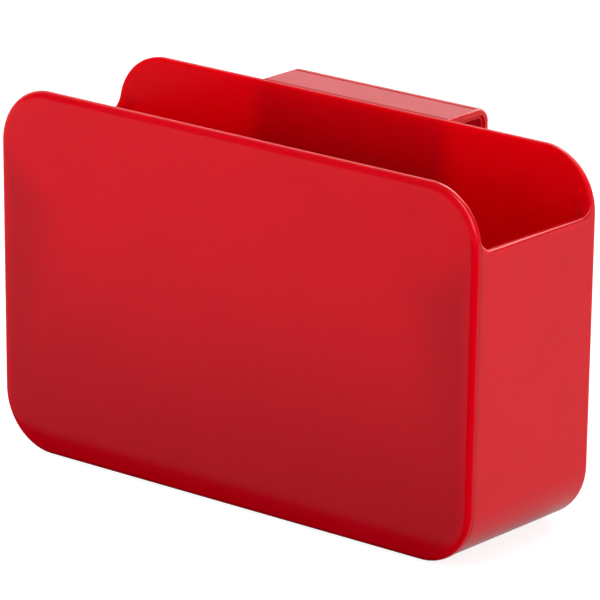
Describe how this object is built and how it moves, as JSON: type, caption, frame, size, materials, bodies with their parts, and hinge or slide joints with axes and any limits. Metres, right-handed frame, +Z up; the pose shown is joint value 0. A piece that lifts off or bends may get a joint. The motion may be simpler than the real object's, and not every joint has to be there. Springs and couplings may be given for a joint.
{
  "type": "hang-on waste bin",
  "caption": "Open-topped moulded waste bin with a rounded face, low sides and a lined hook behind it that goes over the edge of a board; the bin lifts off the hook.",
  "frame": {"origin": "on the standing surface, under the middle of the bin and its hook", "axes": "+X to the right across the bin, +Y to the back where the hook is, +Z up; the face looks along -Y"},
  "size_m": [0.2394, 0.102, 0.15],
  "materials": {
    "tub": "glossy moulded red",
    "front_panel": "glossy moulded red",
    "hook": "satin moulded red, fine spark texture on top",
    "hook_liner": "soft matt red",
    "bumpers": "soft matt red"
  },
  "bodies": {
    "bin": {"tub": "tub", "front_panel": "front_panel", "bumper_left": "bumpers", "bumper_right": "bumpers"},
    "hanger": {"hook": "hook", "hook_liner": "hook_liner"}
  },
  "joints": [
    {"name": "hook_slide", "type": "slide", "parent": "bin", "child": "hanger", "axis": [0, 0, -1], "range_m": [0, 0.041]}
  ]
}
